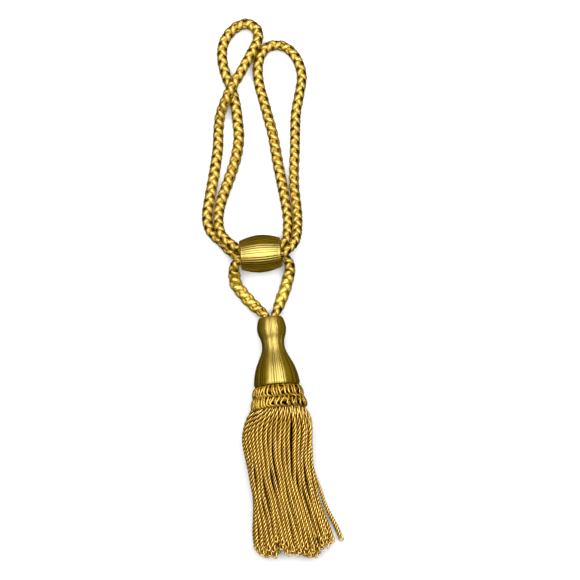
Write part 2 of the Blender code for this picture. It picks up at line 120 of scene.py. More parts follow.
# The threads wound on the bead and the head
BEAD_THREADS = 92
HEAD_THREADS = 112
THREAD_STEPS = 4  # columns of the skin to a thread
THREAD_RELIEF = 0.00003
THREAD_UNEVENNESS = 0.4  # of the relief, from thread to thread
THREAD_WAVER = 0.25  # the range of a crown's place in its thread, in columns
THREAD_TONE = 0.3
THREAD_TONE_SPREAD = 0.5
GROOVE_SHARE = 0.75  # of every other thread: those that have parted
GROOVE_DEPTH = 0.00024
GROOVE_LEAST = 0.2  # of that depth, for the shallowest
# Painted shade in the grooves
GROOVE_SHADE = 0.7

# The head
HEAD_TOP = np.array([0.2705, 0.2625, 0.0134])
HEAD_BASE = np.array([0.2776, 0.1900, 0.0250])
POCKET_RADIUS = 0.0091
POCKET_DEPTH = 0.0090
POCKET_CORD_RADIUS = 0.0042
POCKET_LEAD = 0.0020
GAP = 0.0003
AXIS_RADIUS = 0.0004  # of the pinhole at which a turned skin ends
FOOT_RADIUS = 0.0200
# Along the axis, from the pocket's floor to its mouth, and how much wider it is there
POCKET_PROFILE = ((POCKET_DEPTH, 0.0), (0.0040, 0.0), (0.0008, 0.0001), (0.0001, 0.0006))
# Along the axis from the top, radius
HEAD_PROFILE = (
    (0.0000, 0.0108),
    (0.0014, 0.0121),
    (0.0050, 0.0135),
    (0.0110, 0.0145),
    (0.0170, 0.0137),
    (0.0220, 0.0119),
    (0.0265, 0.01115),
    (0.0315, 0.0115),
    (0.0360, 0.0128),
    (0.0420, 0.0156),
    (0.0490, 0.0189),
    (0.0560, 0.0211),
    (0.0620, 0.0223),
    (0.0665, 0.0229),
    (0.0690, 0.0222),
)

# The ruff: two rows, each a gimp cord coiled around a core, with a second coil sunk between its loops.
# Along the head's axis, ring radius, half depth, half length of the coil, loops
RUFF_ROWS = (
    (0.0757, 0.0213, 0.0028, 0.0050, 29),
    (0.0866, 0.0240, 0.0028, 0.0050, 32),
)
RUFF_SLOPE = 0.22  # how fast the ruff widens along the head's axis
# Where the coils start, in loops, how far their outsides are sunk, radius, tone and painted shade; the
# sunk coil's lower tone and its shade are painted shade
RUFF_COILS = (
    (0.0, 0.0, 0.00120, 0.70, 0.0),
    (0.5, 0.0008, 0.00115, 0.35, 0.25),
)
GIMP_SIDES = 8
GIMP_SHADE = 1.1  # how fast the gimp's painted shade grows from its crown inwards
GIMP_SHADE_START = -0.85
COIL_FLATNESS = 0.55  # power of the coil's section: 1 is round, less is flatter outwards
COIL_STEPS = 20  # to a loop
COIL_UNEVENNESS = 0.0002
CORE_DEPTH = 0.75  # of the coil's half depth
CORE_LENGTH = 0.90  # of the coil's half length
CORE_STEPS = 96
CORE_SIDES = 12
# Sideways moves of a loop, in loops, each with its spread
LOOP_BOW, LOOP_BOW_SPREAD = 0.22, 0.22
LOOP_BEND, LOOP_BEND_SPREAD = 0.50, 0.42  # of its ends apart, which makes it an S
LOOP_SHIFT_SPREAD = 0.16
LOOP_CROWDING = 0.12  # most that loops move towards two opposite places of the ring, in radians
SPARSE_PLACE = 1.25 * math.pi  # midway between them

# The fringe
FRINGE_RING_STRANDS = (37, 30, 20)
FRINGE_CORE_STRANDS = 7
FRINGE_RING_STEP = 0.0043
FRINGE_TOP = 0.1860
FRINGE_FOOT = 0.0200
FRINGE_START = 0.0719  # where the strands start, along the head's axis
STRAND_WIDTH = 0.0047
STRAND_FILL = (0.93, 0.86, 0.84)  # of each ring's room, ring by ring inwards
CORE_FILL = 0.74
# y, middle in x, half width, lowest and highest z of the pile
FRINGE_SECTIONS = (
    (0.1860, 0.2778, 0.0188, 0.0064, 0.0440),
    (0.1730, 0.2795, 0.0250, 0.0050, 0.0508),
    (0.1680, 0.2803, 0.0306, 0.0030, 0.0520),
    (0.1640, 0.2798, 0.0334, 0.0014, 0.0512),
    (0.1580, 0.2788, 0.0352, 0.0002, 0.0474),
    (0.1460, 0.2777, 0.0362, 0.0000, 0.0418),
    (0.1240, 0.2786, 0.0338, 0.0000, 0.0355),
    (0.1000, 0.2816, 0.0326, 0.0000, 0.0315),
    (0.0740, 0.2874, 0.0350, 0.0000, 0.0280),
    (0.0500, 0.2930, 0.0402, 0.0000, 0.0255),
    (0.0230, 0.2982, 0.0440, 0.0000, 0.0240),
)
# x, y of the strand ends there
FRINGE_ENDS = (
    (0.2520, 0.0440),
    (0.2545, 0.0420),
    (0.2560, 0.0270),
    (0.2620, 0.0240),
    (0.2770, 0.0225),
    (0.2790, 0.0300),
    (0.2840, 0.0300),
    (0.2880, 0.0250),
    (0.2960, 0.0270),
    (0.3030, 0.0240),
    (0.3180, 0.0240),
    (0.3210, 0.0300),
    (0.3350, 0.0345),
    (0.3400, 0.0370),
)
END_UNEVENNESS = 0.0060
TOP_END_RISE = 0.0140  # how much shorter the uppermost strands may be
LEVEL_STEP = 0.0025
STRAND_STEP = 0.00155
STRAND_TONE, STRAND_TONE_SPREAD = 0.5, 0.16
STRAND_LAY, LAY_SPREAD = 0.0112, 0.05  # the spread is a share of the lay
TOP_SLACK = 0.9  # how much longer the lay is at the top
TOP_LEVELS = (0.135, 0.172)
PLY_THICKNESS = 0.205  # a ply's radius, of the strand's width
PLY_RING = 0.295  # how far a ply's middle lies from the strand's, of the strand's width
PLY_SHADE = 1.4  # how fast a ply's painted shade grows from its crown inwards
PLY_SHADE_START = -0.55
PLY_SIDES = (8, 6, 6, 6)  # ring by ring inwards
LOOP_LENGTH = 0.0055  # of the open loop at a strand's end
LOOP_OPENING = 0.18
LOOP_THINNING = 0.18
LOOP_STEPS = 7
END_TURN_SPREAD = 0.35  # of the loops about their strands, in radians
RING_PIECES = ("fringe_outer", "fringe_second", "fringe_inner", "fringe_inner")
RING_SHADES = (0.0, 0.65, 0.85, 0.85)  # how much painted shade the strands get at the top, ring by ring inwards
SHADE_LEVELS = (0.075, 0.115)  # between which that painted shade grows, where the outer strands close over the inner ones
SPACING_UNEVENNESS = 0.10  # of the outer strands, in strands
WANDER = 0.0012
WANDER_WAVES = ((0.022, 1.0), (0.011, 0.7), (0.006, 0.6))  # length over a full turn, share
WANDER_START = 0.180
WANDER_GROWTH = 0.05
# The outer strands fan out from the middle of the ruff
FAN_X = 0.2815
FAN_LEVELS = (0.150, 0.182)
FAN_SHARES = (0.04, 0.46)  # of the way round the pile: its upper side
FAN_MIDDLE = 0.25
FAN_LEFT = 0.86  # how far out a strand starts, of where it ends up
FAN_RIGHT = 0.88
FAN_LIFT = 0.45  # how high every other strand rides over its neighbours there, in its widths
FAN_EDGE = 0.98  # of the half width: how far out the pile's height is followed
# The first strand strays to the right and falls onto the floor: y, shift
STRAY_SPREAD = ((0.1240, 0.0), (0.1000, 0.0022), (0.0740, 0.0042), (0.0500, 0.0064), (0.0230, 0.0098))
STRAY_THICKENING = 0.18
STRAY_FALL_START = 0.100
STRAY_FALL_LENGTH = 0.05
# The strands are pressed apart in rounds
PRESS_ROUNDS = 160
PRESS_DISTANCE = 0.92  # of two strands' radii: how near their middles may come
PRESS_RATE = 0.6
HOME_PULL = 0.02
LINE_SMOOTHING = 0.15

# The yarns. Colours, linear: the painted shade of the crevices, then dark, middle and light gold. The
# highlights' tint. How metallic it is. How strong its highlights are, as an index. Fine threads round the
# yarn, their lay and the height of their bump.
CORD_SATIN = {
    "colours": ((0.19, 0.095, 0.0010), (0.18, 0.095, 0.001), (0.38, 0.23, 0.005), (0.54, 0.35, 0.012)),
    "tint": (1.0, 0.92, 0.54, 1.0),
    "shine": 0.42,
    "index": 3.2,
    "roughness": 0.36,
    "threads": 10,
    "lay": 0.012,
    "bump": 0.00008,
    "anisotropy": 0.95,
}
WOUND_SATIN = {
    "colours": ((0.06, 0.035, 0.0005), (0.12, 0.065, 0.001), (0.30, 0.185, 0.003), (0.40, 0.26, 0.006)),
    "tint": (1.0, 0.90, 0.40, 1.0),
    "shine": 0.50,
    "index": 4.2,
    "roughness": 0.30,
    "threads": 300,
    "lay": 1.0,
    "bump": 0.00001,
    "anisotropy": 0.95,
}
RUFF_SATIN = {
    "colours": ((0.10, 0.038, 0.0006), (0.13, 0.055, 0.001), (0.36, 0.20, 0.004), (0.54, 0.33, 0.010)),
    "tint": (1.0, 0.86, 0.42, 1.0),
    "shine": 0.30,
    "index": 2.8,
    "roughness": 0.27,
    "threads": 8,
    "lay": 0.006,
    "bump": 0.00003,
    "anisotropy": 0.95,
}
FRINGE_SATIN = {
    "colours": ((0.07, 0.022, 0.0003), (0.12, 0.045, 0.001), (0.56, 0.29, 0.010), (0.76, 0.44, 0.028)),
    "tint": (1.0, 0.88, 0.50, 1.0),
    "shine": 0.25,
    "index": 3.6,
    "roughness": 0.26,
    "threads": 6,
    "lay": 0.004,
    "bump": 0.00002,
    "anisotropy": 0.8,
}

# What the yarns share: the weights in the choice of gold, and the relief
TONE_PART = 0.45
MOTTLE_PART = 0.35
FIBRE_PART = 0.30
GOLD_STEPS = (0.25, 0.52, 0.80)  # where it is dark, middle and light
MOTTLE_SCALE = 70.0
FIBRE_FINENESS = 1.7  # to one thread
FIBRE_BREAKS = 160.0  # to a metre
FIBRE_ROUGHNESS = 0.16
THREAD_HEIGHT = 0.5  # of the bump
FIBRE_HEIGHT = 0.8
QUARTER_TURN = 0.25  # of the anisotropy, from round the yarn to along it

# Routes of the cord outside the bead: x, y, z, radius
LEFT_TAIL = (
    (0.2610, 0.2686, 0.0108, 0.0052),
    (0.2556, 0.2730, 0.0082, 0.0060),
    (0.2494, 0.2789, 0.0066, 0.0063),
    (0.2426, 0.2865, 0.0064, 0.0062),
    (0.2363, 0.2946, 0.0076, 0.0063),
    (0.2344, 0.3034, 0.0118, 0.0062),
    (0.2341, 0.3108, 0.0176, 0.0054),
    (0.2362, 0.3170, 0.0214, 0.0047),
)
RIGHT_LOOP = (
    (0.2882, 0.3306, 0.0233, 0.0046),
    (0.2934, 0.3358, 0.0218, 0.0049),
    (0.2965, 0.3436, 0.0186, 0.0049),
    (0.2975, 0.3530, 0.0140, 0.0050),
    (0.2975, 0.3650, 0.0094, 0.0050),
    (0.2960, 0.3790, 0.0060, 0.0051),
    (0.2942, 0.3940, 0.0053, 0.0052),
    (0.2941, 0.4110, 0.0053, 0.0052),
    (0.2948, 0.4300, 0.0053, 0.0052),
    (0.2951, 0.4480, 0.0053, 0.0052),
    (0.2960, 0.4680, 0.0053, 0.0053),
    (0.2995, 0.4870, 0.0053, 0.0052),
    (0.3018, 0.5030, 0.0053, 0.0052),
    (0.2992, 0.5163, 0.0053, 0.0052),
    (0.2934, 0.5266, 0.0053, 0.0052),
    (0.2850, 0.5336, 0.0053, 0.0052),
    (0.2754, 0.5354, 0.0054, 0.0053),
    (0.2658, 0.5324, 0.0054, 0.0053),
    (0.2596, 0.5230, 0.0054, 0.0053),
    (0.2577, 0.5100, 0.0053, 0.0053),
    (0.2592, 0.4958, 0.0053, 0.0053),
    (0.2633, 0.4808, 0.0053, 0.0053),
    (0.2679, 0.4638, 0.0055, 0.0054),
    (0.2725, 0.4469, 0.0055, 0.0054),
    (0.2757, 0.4298, 0.0057, 0.0056),
    (0.2787, 0.4128, 0.0057, 0.0056),
    (0.2820, 0.3968, 0.0057, 0.0056),
    (0.2847, 0.3815, 0.0054, 0.0053),
    (0.2867, 0.3690, 0.0055, 0.0051),
    (0.2877, 0.3590, 0.0072, 0.0050),
    (0.2875, 0.3500, 0.0106, 0.0050),
    (0.2864, 0.3412, 0.0150, 0.0047),
)
LEFT_LOOP = (
    (0.2326, 0.3352, 0.0186, 0.0047),
    (0.2262, 0.3400, 0.0178, 0.0050),
    (0.2214, 0.3460, 0.0160, 0.0051),
    (0.2188, 0.3540, 0.0124, 0.0052),
    (0.2183, 0.3640, 0.0082, 0.0054),
    (0.2201, 0.3750, 0.0058, 0.0056),
    (0.2228, 0.3840, 0.0058, 0.0057),
    (0.2270, 0.3955, 0.0058, 0.0057),
    (0.2319, 0.4095, 0.0058, 0.0057),
    (0.2363, 0.4247, 0.0058, 0.0057),
    (0.2387, 0.4420, 0.0057, 0.0056),
    (0.2375, 0.4590, 0.0057, 0.0056),
    (0.2353, 0.4758, 0.0056, 0.0055),
    (0.2313, 0.4914, 0.0055, 0.0054),
    (0.2256, 0.5058, 0.0055, 0.0054),
    (0.2221, 0.5209, 0.0054, 0.0053),
    (0.2230, 0.5357, 0.0054, 0.0053),
    (0.2292, 0.5471, 0.0055, 0.0054),
    (0.2380, 0.5545, 0.0056, 0.0055),
    (0.2482, 0.5566, 0.0057, 0.0056),
    (0.2568, 0.5504, 0.0068, 0.0055),
    (0.2577, 0.5400, 0.0106, 0.0054),
    (0.2531, 0.5300, 0.0130, 0.0053),
    (0.2473, 0.5192, 0.0140, 0.0053),
    (0.2399, 0.5057, 0.0152, 0.0053),
    (0.2312, 0.4910, 0.0166, 0.0053),
    (0.2247, 0.4773, 0.0142, 0.0053),
    (0.2200, 0.4637, 0.0096, 0.0053),
    (0.2183, 0.4489, 0.0060, 0.0053),
    (0.2178, 0.4330, 0.0057, 0.0055),
    (0.2154, 0.4150, 0.0059, 0.0057),
    (0.2124, 0.3970, 0.0059, 0.0058),
    (0.2092, 0.3800, 0.0058, 0.0057),
    (0.2070, 0.3660, 0.0056, 0.0055),
    (0.2076, 0.3560, 0.0055, 0.0053),
    (0.2110, 0.3480, 0.0054, 0.0052),
    (0.2166, 0.3420, 0.0055, 0.0052),
    (0.2222, 0.3372, 0.0062, 0.0050),
    (0.2264, 0.3322, 0.0082, 0.0049),
    (0.2324, 0.3266, 0.0108, 0.0046),
)
RIGHT_TAIL = (
    (0.2863, 0.3212, 0.0131, 0.0046),
    (0.2896, 0.3156, 0.0114, 0.0052),
    (0.2897, 0.3080, 0.0088, 0.0058),
    (0.2873, 0.2990, 0.0068, 0.0061),
    (0.2848, 0.2900, 0.0064, 0.0062),
    (0.2815, 0.2815, 0.0072, 0.0062),
    (0.2789, 0.2745, 0.0092, 0.0058),
    (0.2768, 0.2690, 0.0114, 0.0049),
)


# ---- numbers

def unit(vectors):
    return vectors / np.linalg.norm(vectors, axis=-1, keepdims=True)


def tangents(points):
    return unit(np.gradient(points, axis=0))


def lengths_along(points):
    return np.concatenate([[0.0], np.cumsum(np.linalg.norm(np.diff(points[:, :3], axis=0), axis=1))])


def resampled(points, step):
    """The same line with its points an even step apart, with every column carried along."""
    lengths = lengths_along(points)
    count = max(2, int(round(lengths[-1] / step)) + 1)
    places = np.linspace(0.0, lengths[-1], count)
    return np.stack([np.interp(places, lengths, points[:, k]) for k in range(points.shape[1])], axis=1)


def smooth_curve(points, samples=24):
    """A centripetal Catmull-Rom curve through the points, which may carry more columns than three."""
    points = np.array(points, float)
    padded = np.vstack([2 * points[0] - points[1], points, 2 * points[-1] - points[-2]])
    curve = []
    for a, b, c, d in zip(padded, padded[1:], padded[2:], padded[3:]):
        ta = 0.0
        tb = ta + math.sqrt(np.linalg.norm(b[:3] - a[:3]))
        tc = tb + math.sqrt(np.linalg.norm(c[:3] - b[:3]))
        td = tc + math.sqrt(np.linalg.norm(d[:3] - c[:3]))
        for t in np.linspace(tb, tc, samples, endpoint=False):
            ab = ((tb - t) * a + (t - ta) * b) / (tb - ta)
            bc = ((tc - t) * b + (t - tb) * c) / (tc - tb)
            cd = ((td - t) * c + (t - tc) * d) / (td - tc)
            abc = ((tc - t) * ab + (t - ta) * bc) / (tc - ta)
            bcd = ((td - t) * bc + (t - tb) * cd) / (td - tb)
            curve.append(((tc - t) * abc + (t - tb) * bcd) / (tc - tb))
    curve.append(points[-1])
    return np.array(curve)


def table_at(table, values):
    """Reads a table between its rows, which may rise or fall along the first column."""
    rows = np.array(table)
    rows = rows[np.argsort(rows[:, 0])]
    return [np.interp(values, rows[:, 0], rows[:, k]) for k in range(1, rows.shape[1])]


def carried_frame(points, start):
    """Two directions square to a line, carried along it without twist from a start direction."""
    along = tangents(points)
    first = np.empty_like(points)
    current = start - along[0] * np.dot(start, along[0])
    for i, tangent in enumerate(along):
        current = current - tangent * np.dot(current, tangent)
        current = current / np.linalg.norm(current)
        first[i] = current
    return first, np.cross(along, first)


def smooth_step(values, low, high):
    share = np.clip((values - low) / (high - low), 0.0, 1.0)
    return share * share * (3 - 2 * share)


# ---- meshes

def new_pile():
    return {"points": [], "corners": [], "totals": [], "uvs": [], "tones": [], "painted_shades": [], "count": 0}


def add_tube(pile, centre, outward, half_wide, half_thin, sides, tone, painted_shade, closed=False):
    """A tube of oval section, its thin way along outward. Its map runs round it and, in metres, along."""
    count = len(centre)
    if closed:
        along = unit(np.roll(centre, -1, axis=0) - np.roll(centre, 1, axis=0))
    else:
        along = tangents(centre)
    wide = unit(np.cross(outward, along))
    thin = np.cross(along, wide)
    angles = np.arange(sides) * TURN / sides
    half_wide = np.broadcast_to(half_wide, (count,))
    half_thin = np.broadcast_to(half_thin, (count,))
    sideways = np.cos(angles)[None, :] * half_wide[:, None]
    upwards = np.sin(angles)[None, :] * half_thin[:, None]
    rings = centre[:, None, :] + wide[:, None, :] * sideways[:, :, None]
    rings = rings + thin[:, None, :] * upwards[:, :, None]
    spans = count if closed else count - 1
    i = np.repeat(np.arange(spans), sides)
    j = np.tile(np.arange(sides), spans)
    k = (j + 1) % sides
    m = (i + 1) % count
    quads = np.stack([i * sides + j, i * sides + k, m * sides + k, m * sides + j], axis=1)
    lengths = lengths_along(centre)
    far = lengths_along(np.vstack([centre, centre[:1]]))[-1] if closed else 0.0
    ends = np.where(i + 1 < count, lengths[m], far)
    left, right, starts = j / sides, (j + 1) / sides, lengths[i]
    corners = ((left, starts), (right, starts), (right, ends), (left, ends))
    uvs = np.stack([np.stack(corner, axis=1) for corner in corners], axis=1)
    base = pile["count"]
    pile["points"].append(rings.reshape(-1, 3))
    pile["corners"].append((quads + base).reshape(-1))
    pile["totals"].append(np.full(len(quads), 4))
    pile["uvs"].append(uvs.reshape(-1, 2))
    if not closed:
        first = np.arange(sides)[::-1]
        last = (count - 1) * sides + np.arange(sides)
        pile["corners"].append(np.concatenate([first, last]) + base)
        pile["totals"].append(np.array([sides, sides]))
        cap_uvs = np.zeros((2 * sides, 2))
        cap_uvs[sides:, 1] = lengths[-1]
        pile["uvs"].append(cap_uvs)
    pile["tones"].append(np.broadcast_to(tone, (count, sides)).reshape(-1))
    pile["painted_shades"].append(np.broadcast_to(painted_shade, (count, sides)).reshape(-1))
    pile["count"] += count * sides


def add_grid(pile, rings, uvs, tones, painted_shades):
    """A skin through rings of points. Its map has one column more than the rings have points."""
    count, sides, _ = rings.shape
    i = np.repeat(np.arange(count - 1), sides)
    j = np.tile(np.arange(sides), count - 1)
    k = (j + 1) % sides
    quads = np.stack([i * sides + j, i * sides + k, (i + 1) * sides + k, (i + 1) * sides + j], axis=1)
    corner_uvs = np.stack([uvs[i, j], uvs[i, j + 1], uvs[i + 1, j + 1], uvs[i + 1, j]], axis=1)
    base = pile["count"]
    pile["points"].append(rings.reshape(-1, 3))
    pile["corners"].append((quads + base).reshape(-1))
    pile["totals"].append(np.full(len(quads), 4))
    pile["uvs"].append(corner_uvs.reshape(-1, 2))
    pile["tones"].append(tones.reshape(-1))
    pile["painted_shades"].append(painted_shades.reshape(-1))
    pile["count"] += count * sides


def make_piece(pile, name, material):
    """One mesh object from the pile, moved from the layout into the row frame."""
    points = np.concatenate(pile["points"]) - LAYOUT_ORIGIN
    points[:, 2] = np.maximum(points[:, 2], 0.0)
    corners = np.concatenate(pile["corners"]).astype(np.int32)
    totals = np.concatenate(pile["totals"]).astype(np.int32)
    starts = np.concatenate([[0], np.cumsum(totals)[:-1]]).astype(np.int32)
    mesh = bpy.data.meshes.new(name)
    mesh.vertices.add(len(points))
    mesh.vertices.foreach_set("co", points.astype(np.float32).reshape(-1))
    mesh.loops.add(len(corners))
    mesh.loops.foreach_set("vertex_index", corners)
    mesh.polygons.add(len(totals))
    mesh.polygons.foreach_set("loop_start", starts)
    mesh.polygons.foreach_set("loop_total", totals)
    mesh.update(calc_edges=True)
    layer = mesh.uv_layers.new(name="UVMap")
    layer.data.foreach_set("uv", np.concatenate(pile["uvs"]).astype(np.float32).reshape(-1))
    for key, label in (("tones", "tone"), ("painted_shades", "painted_shade")):
        attribute = mesh.attributes.new(label, "FLOAT", "POINT")
        attribute.data.foreach_set("value", np.concatenate(pile[key]).astype(np.float32))
    mesh.shade_smooth()
    mesh.materials.append(material)
    mesh.validate()
    piece = bpy.data.objects.new(name, mesh)
    bpy.context.scene.collection.objects.link(piece)
    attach(piece, "root")
    return piece


# ---- materials

def satin(name, colours, tint, shine, index, roughness, threads, lay, bump, anisotropy):
    """Satin yarn: fine threads run along the piece's map, wound with the given lay."""
    material = bpy.data.materials.new(name)
    material.use_nodes = True
    nodes = material.node_tree.nodes
    links = material.node_tree.links
    shader = nodes["Principled BSDF"]
    painted_shade_colour, dark, middle, light = colours
    shader.inputs["IOR"].default_value = index
    shader.inputs["Specular Tint"].default_value = tint
    shader.inputs["Anisotropic"].default_value = anisotropy
    shader.inputs["Anisotropic Rotation"].default_value = QUARTER_TURN

    def add(kind, **settings):
        node = nodes.new(kind)
        for key, value in settings.items():
            setattr(node, key, value)
        return node

    def calculate(operation, first, second=None):
        node = add("ShaderNodeMath", operation=operation)
        for socket, value in zip(node.inputs, (first, second)):
            if value is None:
                continue
            if isinstance(value, (int, float)):
                socket.default_value = value
            else:
                links.new(value, socket)
        return node.outputs[0]

    uv = add("ShaderNodeUVMap", uv_map="UVMap")
    split = add("ShaderNodeSeparateXYZ")
    links.new(uv.outputs["UV"], split.inputs[0])
    around, along = split.outputs["X"], split.outputs["Y"]
    crossed = calculate("MULTIPLY", around, float(threads))
    wound = calculate("ADD", crossed, calculate("MULTIPLY", along, 1.0 / lay))
    wave = calculate("SINE", calculate("MULTIPLY", wound, TURN))
    position = add("ShaderNodeTexCoord").outputs["Object"]
    mottle = add("ShaderNodeTexNoise")
    mottle.inputs["Scale"].default_value = MOTTLE_SCALE
    mottle.inputs["Detail"].default_value = 3.0
    links.new(position, mottle.inputs["Vector"])
    fibre = add("ShaderNodeTexNoise")
    fibre.inputs["Scale"].default_value = 1.0
    fibre.inputs["Detail"].default_value = 2.0
    fibre_place = add("ShaderNodeCombineXYZ")
    links.new(calculate("MULTIPLY", wound, FIBRE_FINENESS), fibre_place.inputs[0])
    links.new(calculate("MULTIPLY", along, FIBRE_BREAKS), fibre_place.inputs[1])
    links.new(fibre_place.outputs[0], fibre.inputs["Vector"])
    tone = add("ShaderNodeAttribute", attribute_name="tone").outputs["Fac"]
    painted_shade = add("ShaderNodeAttribute", attribute_name="painted_shade").outputs["Fac"]
    toned = calculate("MULTIPLY", tone, TONE_PART)
    level = calculate("ADD", toned, calculate("MULTIPLY", mottle.outputs["Fac"], MOTTLE_PART))
    level = calculate("ADD", level, calculate("MULTIPLY", fibre.outputs["Fac"], FIBRE_PART))
    ramp = add("ShaderNodeValToRGB")
    ramp.color_ramp.elements[0].position = GOLD_STEPS[0]
    ramp.color_ramp.elements[0].color = (*dark, 1.0)
    ramp.color_ramp.elements[1].position = GOLD_STEPS[2]
    ramp.color_ramp.elements[1].color = (*light, 1.0)
    ramp.color_ramp.elements.new(GOLD_STEPS[1]).color = (*middle, 1.0)
    links.new(level, ramp.inputs["Fac"])
    # Painted shade: the more of it, the more the dark colour of a shaded crevice is mixed into the gold
    shade = add("ShaderNodeMix", data_type="RGBA", blend_type="MIX")
    links.new(painted_shade, shade.inputs["Factor"])
    links.new(ramp.outputs["Color"], shade.inputs["A"])
    shade.inputs["B"].default_value = (*painted_shade_colour, 1.0)
    links.new(shade.outputs["Result"], shader.inputs["Base Color"])
    # The more painted shade, the more metal, which keeps the pale highlight out of the shaded crevices
    links.new(calculate("ADD", calculate("MULTIPLY", painted_shade, 1.0 - shine), shine), shader.inputs["Metallic"])
    uneven = calculate("MULTIPLY", fibre.outputs["Fac"], FIBRE_ROUGHNESS)
    links.new(calculate("ADD", uneven, roughness - FIBRE_ROUGHNESS / 2), shader.inputs["Roughness"])
    raised = calculate("MULTIPLY", wave, THREAD_HEIGHT)
    height = calculate("ADD", raised, calculate("MULTIPLY", fibre.outputs["Fac"], FIBRE_HEIGHT))
    relief = add("ShaderNodeBump")
    relief.inputs["Strength"].default_value = 1.0
    relief.inputs["Distance"].default_value = bump
    links.new(height, relief.inputs["Height"])
    links.new(relief.outputs["Normal"], shader.inputs["Normal"])
    tangent = add("ShaderNodeTangent", direction_type="UV_MAP", uv_map="UVMap")
    links.new(tangent.outputs["Tangent"], shader.inputs["Tangent"])
    return material


# ---- the cord

def bead_frame():
    axis = unit(BEAD_RIGHT - BEAD_LEFT)
    across = np.array([-axis[1], axis[0], 0.0])
    return (BEAD_LEFT + BEAD_RIGHT) / 2, axis, across


def bead_pass(slot, towards_right):
    """Where one turn of the cord runs through the bore, from mouth to mouth."""
    middle, axis, across = bead_frame()
    half = np.linalg.norm(BEAD_RIGHT - BEAD_LEFT) / 2
    angle = math.radians(SLOT_ANGLES[slot])
    inside = (across * math.cos(angle) + UP * math.sin(angle)) * SLOT_RING
    left_across, left_up, right_across, right_up = MOUTH_OFFSETS[slot]
    straight = half - BORE_FLARE
    places = [middle - axis * half + across * left_across + UP * left_up]
    places += [middle + axis * along + inside for along in (-straight, 0.0, straight)]
    places += [middle + axis * half + across * right_across + UP * right_up]
    route = [(*place, SQUEEZED_RADIUS) for place in places]
    return route if towards_right else route[::-1]


def head_frame():
    axis = unit(HEAD_BASE - HEAD_TOP)
    across = unit(np.array([-axis[1], axis[0], 0.0]))
    return axis, across, np.cross(across, axis)


def pocket_end(side):
    """The last stretch of a cord end in the head's pocket, from just above the mouth inwards."""
    axis, across, _ = head_frame()
    top = HEAD_TOP + across * (side * (POCKET_CORD_RADIUS + GAP))
    return [(*(top + axis * along), POCKET_CORD_RADIUS) for along in (-POCKET_LEAD, POCKET_DEPTH - GAP)]


def cord_route():
    """The whole cord in order, through the bead between its tails and loops."""
    route = pocket_end(-1)[::-1]
    route += LEFT_TAIL
    route += bead_pass("over", towards_right=True)
    route += RIGHT_LOOP
    route += bead_pass("far", towards_right=False)
    route += LEFT_LOOP
    route += bead_pass("under", towards_right=True)
    route += RIGHT_TAIL
    route += pocket_end(1)
    return smooth_curve(route)


def make_cord():
    route = resampled(cord_route(), CORD_STEP)
    centre, radius = route[:, :3], route[:, 3]
    distance = lengths_along(centre)
    along = tangents(centre)
    side = unit(np.cross(along, UP))
    over = np.cross(side, along)
    pitch = PLAIT_PITCH + LOOSE_PITCH_GAIN * np.maximum(0.0, radius - LOOSE_RADIUS)
    turn = np.concatenate([[0.0], np.cumsum(np.diff(distance) * (math.pi / pitch[1:]))])
    drift = PLAIT_DRIFT * np.sin(distance * TURN / PLAIT_DRIFT_LENGTH) - PLAIT_TURN * along[:, 1]
    loose = np.clip((radius - LOOSE_RADIUS) / LOOSE_BAND, 0.0, 1.0)
    pile = new_pile()
    # The filling is a dark tube painted as the shade between the yarns, less so where the plait is loose
    filling = radius * FILLING_RADIUS
    tone = FILLING_TONE + LOOSE_FILLING_TONE * loose
    painted_shade = FILLING_SHADE * (1 - LOOSE_FILLING_SHADE_LOSS * loose)
    add_tube(pile, centre, over, filling, filling, YARN_SIDES, tone[:, None], painted_shade[:, None])
    for number in range(4):
        way = 1 if number < 2 else -1
        start = math.pi * (number % 2)
        angle = way * (turn - YARN_SLANT / 2 * np.sin(2 * turn)) + start
        rise = -way * np.tanh(YARN_LINGER * np.cos(2 * turn)) / math.tanh(YARN_LINGER)
        reach = radius * (YARN_RING + YARN_WEAVE * rise)
        outward = side * np.cos(angle + drift)[:, None] + over * np.sin(angle + drift)[:, None]
        # Painted shade where a yarn dives under, less where the plait is loose; there the yarns are
        # painted lighter too, as painted light
        painted_shade = np.clip(YARN_SHADE - YARN_DIVE_SHADE * rise, 0.0, 1.0) * (1 - LOOSE_YARN_SHADE_LOSS * loose)
        tone = YARN_TONE + YARN_TONE_STEP * number + LOOSE_YARN_PAINTED_LIGHT * loose
        half_wide = radius * YARN_HALF_WIDTH * (1 + YARN_SWELL * rise + LOOSE_WIDENING * loose)
        half_thin = radius * YARN_HALF_THICKNESS
        yarn = centre + outward * reach[:, None]
        add_tube(pile, yarn, outward, half_wide, half_thin, YARN_SIDES, tone[:, None], painted_shade[:, None])
    material = satin("cord_satin", **CORD_SATIN)
    cord = make_piece(pile, "cord_plait", material)
    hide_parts("cord")


# ---- the bead and the head

